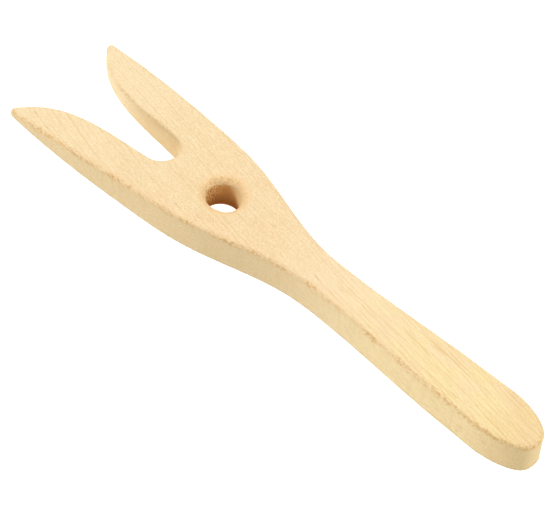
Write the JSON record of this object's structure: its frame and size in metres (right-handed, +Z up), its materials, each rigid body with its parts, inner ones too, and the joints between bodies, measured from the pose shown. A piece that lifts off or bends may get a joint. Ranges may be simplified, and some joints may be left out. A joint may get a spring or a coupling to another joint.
{
  "type": "two-pronged wooden fork",
  "caption": "Flat two-pronged wooden fork cut from one board, with tapered pointed prongs, a round through-hole in the head and a rounded handle.",
  "frame": {"origin": "midway along and across the fork, on the flat face that it lies on", "axes": "+X along the fork from the prong tips to the end of the handle, +Z up through the board's thickness, +Y across the fork"},
  "size_m": [0.179, 0.0394, 0.0107],
  "materials": {
    "wood": "pale fine-grained hardwood, sanded by hand and left unvarnished"
  },
  "bodies": {
    "root": {"fork_body": "wood"}
  },
  "joints": []
}
